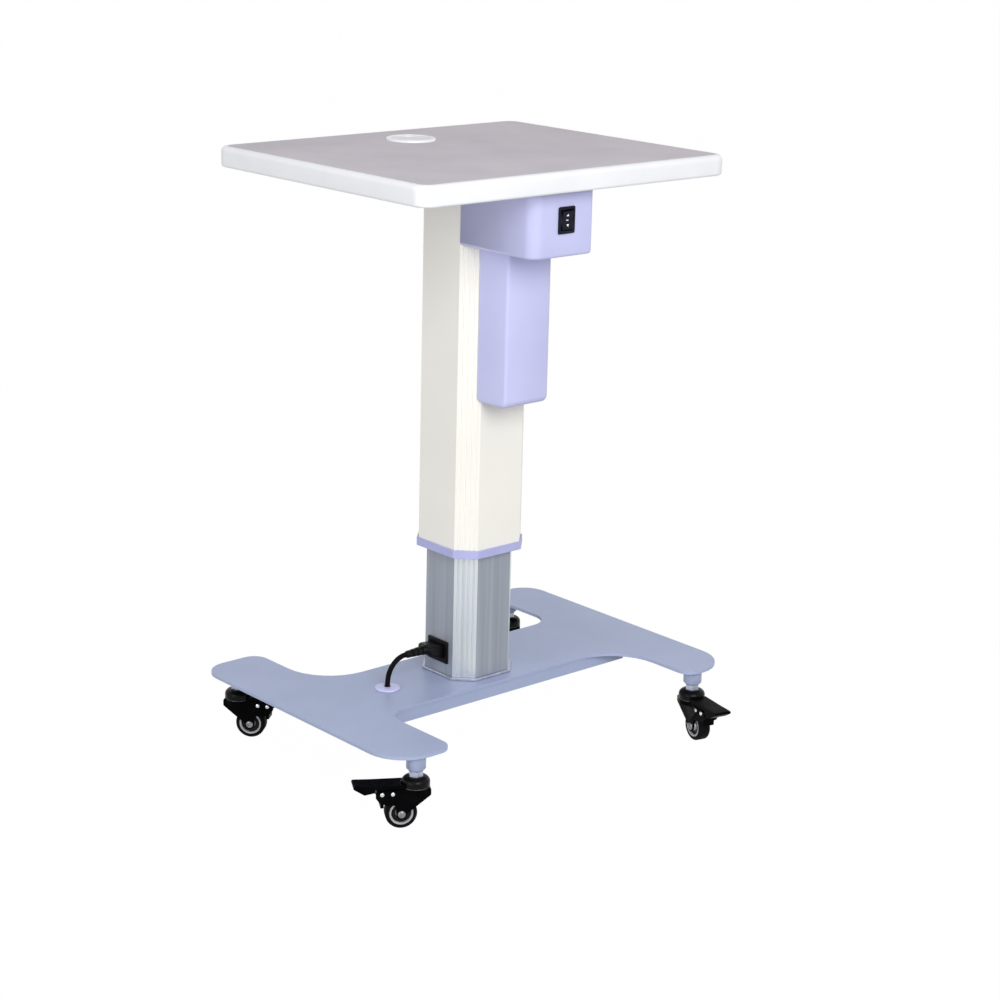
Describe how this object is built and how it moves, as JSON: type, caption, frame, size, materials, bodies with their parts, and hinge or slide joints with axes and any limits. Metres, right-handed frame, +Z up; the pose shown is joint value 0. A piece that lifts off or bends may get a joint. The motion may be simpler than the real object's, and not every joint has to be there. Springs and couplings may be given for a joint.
{
  "type": "motorised instrument table",
  "caption": "Height-adjustable ophthalmic instrument table: laminate top on a two-stage motorised column, H-shaped base with braked swivel casters.",
  "frame": {"origin": "on the floor, in the middle of the footprint with the brake pedals where they stand; the column's axis is 8.7 mm to the right of it and 8.7 mm behind it", "axes": "+Z up along the column; -Y towards the front, the face with the switch; +X along the table top's long side, away from the mains inlet"},
  "size_m": [0.5824, 0.4889, 0.7548],
  "materials": {
    "tabletop_laminate": "fine matt laminate",
    "white_plastic": "satin moulded",
    "cream_coat": "satin powder coat",
    "anodised_aluminium": "satin anodised extrusion",
    "lilac_cover": "fine textured moulded",
    "lilac_coat": "satin powder coat",
    "black_plastic": "satin moulded",
    "black_rubber": "matt",
    "grey_hub": "silver moulded",
    "zinc_steel": "bright zinc",
    "black_steel": "gloss black",
    "bright_steel": "polished",
    "cast_aluminium": "as cast",
    "white_glide": "natural acetal"
  },
  "bodies": {
    "base": {"base_plate": "lilac_coat", "cross_beam": "lilac_coat", "cord_grommet": "lilac_cover", "column_foot": "zinc_steel", "inner_column": "anodised_aluminium", "upper_glide": "white_glide", "inlet_socket": "black_plastic", "power_plug": "black_plastic", "power_cord": "black_rubber", "push_rod": "bright_steel", "rod_bracket": "zinc_steel", "rod_pin": "bright_steel", "caster_stem_front_left": "zinc_steel", "caster_stem_front_right": "zinc_steel", "caster_stem_rear_left": "zinc_steel", "caster_stem_rear_right": "zinc_steel", "caster_cap_front_left": "black_steel", "caster_cap_front_right": "black_steel", "caster_cap_rear_left": "black_steel", "caster_cap_rear_right": "black_steel"},
    "lift": {"outer_column": "cream_coat", "collar": "lilac_cover", "top_bracket": "zinc_steel", "edge_band": "white_plastic", "table_board": "tabletop_laminate", "grommet_ring": "white_plastic", "control_box": "lilac_cover", "motor_cover": "lilac_cover", "gear_case": "cast_aluminium", "drive_motor": "black_steel", "actuator_tube": "bright_steel", "power_supply": "black_plastic", "switch_bezel": "black_plastic"},
    "rocker": {"switch_rocker": "black_plastic"},
    "cap": {"grommet_cap": "white_plastic"},
    "caster_front_left": {"caster_fork_front_left": "black_steel", "axle_front_left": "bright_steel", "pedal_pin_front_left": "bright_steel"},
    "wheel_front_left": {"tyre_front_left": "black_rubber", "hub_front_left": "grey_hub"},
    "pedal_front_left": {"brake_pedal_front_left": "black_plastic"},
    "caster_front_right": {"caster_fork_front_right": "black_steel", "axle_front_right": "bright_steel", "pedal_pin_front_right": "bright_steel"},
    "wheel_front_right": {"tyre_front_right": "black_rubber", "hub_front_right": "grey_hub"},
    "pedal_front_right": {"brake_pedal_front_right": "black_plastic"},
    "caster_rear_left": {"caster_fork_rear_left": "black_steel", "axle_rear_left": "bright_steel", "pedal_pin_rear_left": "bright_steel"},
    "wheel_rear_left": {"tyre_rear_left": "black_rubber", "hub_rear_left": "grey_hub"},
    "pedal_rear_left": {"brake_pedal_rear_left": "black_plastic"},
    "caster_rear_right": {"caster_fork_rear_right": "black_steel", "axle_rear_right": "bright_steel", "pedal_pin_rear_right": "bright_steel"},
    "wheel_rear_right": {"tyre_rear_right": "black_rubber", "hub_rear_right": "grey_hub"},
    "pedal_rear_right": {"brake_pedal_rear_right": "black_plastic"}
  },
  "joints": [
    {"name": "column_lift", "type": "slide", "parent": "base", "child": "lift", "axis": [0, 0, 1], "range_m": [-0.105, 0.105]},
    {"name": "rocker_tilt", "type": "hinge", "parent": "lift", "child": "rocker", "pos_m": [0.0039, -0.1521, 0.691], "axis": [1, 0, 0], "range_deg": [-8, 8], "stiffness_Nm_per_rad": 0.05},
    {"name": "cap_lift", "type": "slide", "parent": "lift", "child": "cap", "axis": [0, 0, 1], "range_m": [0, 0.015]},
    {"name": "swivel_front_left", "type": "hinge", "parent": "base", "child": "caster_front_left", "pos_m": [-0.2213, -0.1693, 0.05], "axis": [0, 0, 1], "continuous": true},
    {"name": "swivel_front_right", "type": "hinge", "parent": "base", "child": "caster_front_right", "pos_m": [0.2387, -0.1693, 0.05], "axis": [0, 0, 1], "continuous": true},
    {"name": "swivel_rear_left", "type": "hinge", "parent": "base", "child": "caster_rear_left", "pos_m": [-0.2213, 0.1867, 0.05], "axis": [0, 0, 1], "continuous": true},
    {"name": "swivel_rear_right", "type": "hinge", "parent": "base", "child": "caster_rear_right", "pos_m": [0.2387, 0.1867, 0.05], "axis": [0, 0, 1], "continuous": true},
    {"name": "roll_front_left", "type": "hinge", "parent": "caster_front_left", "child": "wheel_front_left", "pos_m": [-0.2363, -0.16029, 0.019], "axis": [-0.515, -0.8572, 0], "continuous": true},
    {"name": "roll_front_right", "type": "hinge", "parent": "caster_front_right", "child": "wheel_front_right", "pos_m": [0.23447, -0.18628, 0.019], "axis": [0.9703, -0.2419, 0], "continuous": true},
    {"name": "roll_rear_left", "type": "hinge", "parent": "caster_rear_left", "child": "wheel_rear_left", "pos_m": [-0.21005, 0.17329, 0.019], "axis": [0.766, 0.6428, 0], "continuous": true},
    {"name": "roll_rear_right", "type": "hinge", "parent": "caster_rear_right", "child": "wheel_rear_right", "pos_m": [0.22555, 0.19825, 0.019], "axis": [-0.66, -0.7513, 0], "continuous": true},
    {"name": "brake_front_left", "type": "hinge", "parent": "caster_front_left", "child": "pedal_front_left", "pos_m": [-0.2561, -0.14839, 0.0445], "axis": [-0.515, -0.8572, 0], "range_deg": [0, 10]},
    {"name": "brake_front_right", "type": "hinge", "parent": "caster_front_right", "child": "pedal_front_right", "pos_m": [0.22888, -0.20869, 0.0445], "axis": [0.9703, -0.2419, 0], "range_deg": [0, 10]},
    {"name": "brake_rear_left", "type": "hinge", "parent": "caster_rear_left", "child": "pedal_rear_left", "pos_m": [-0.1952, 0.1556, 0.0445], "axis": [0.766, 0.6428, 0], "range_deg": [0, 10]},
    {"name": "brake_rear_right", "type": "hinge", "parent": "caster_rear_right", "child": "pedal_rear_right", "pos_m": [0.2082, 0.2135, 0.0445], "axis": [-0.66, -0.7513, 0], "range_deg": [0, 10]}
  ]
}
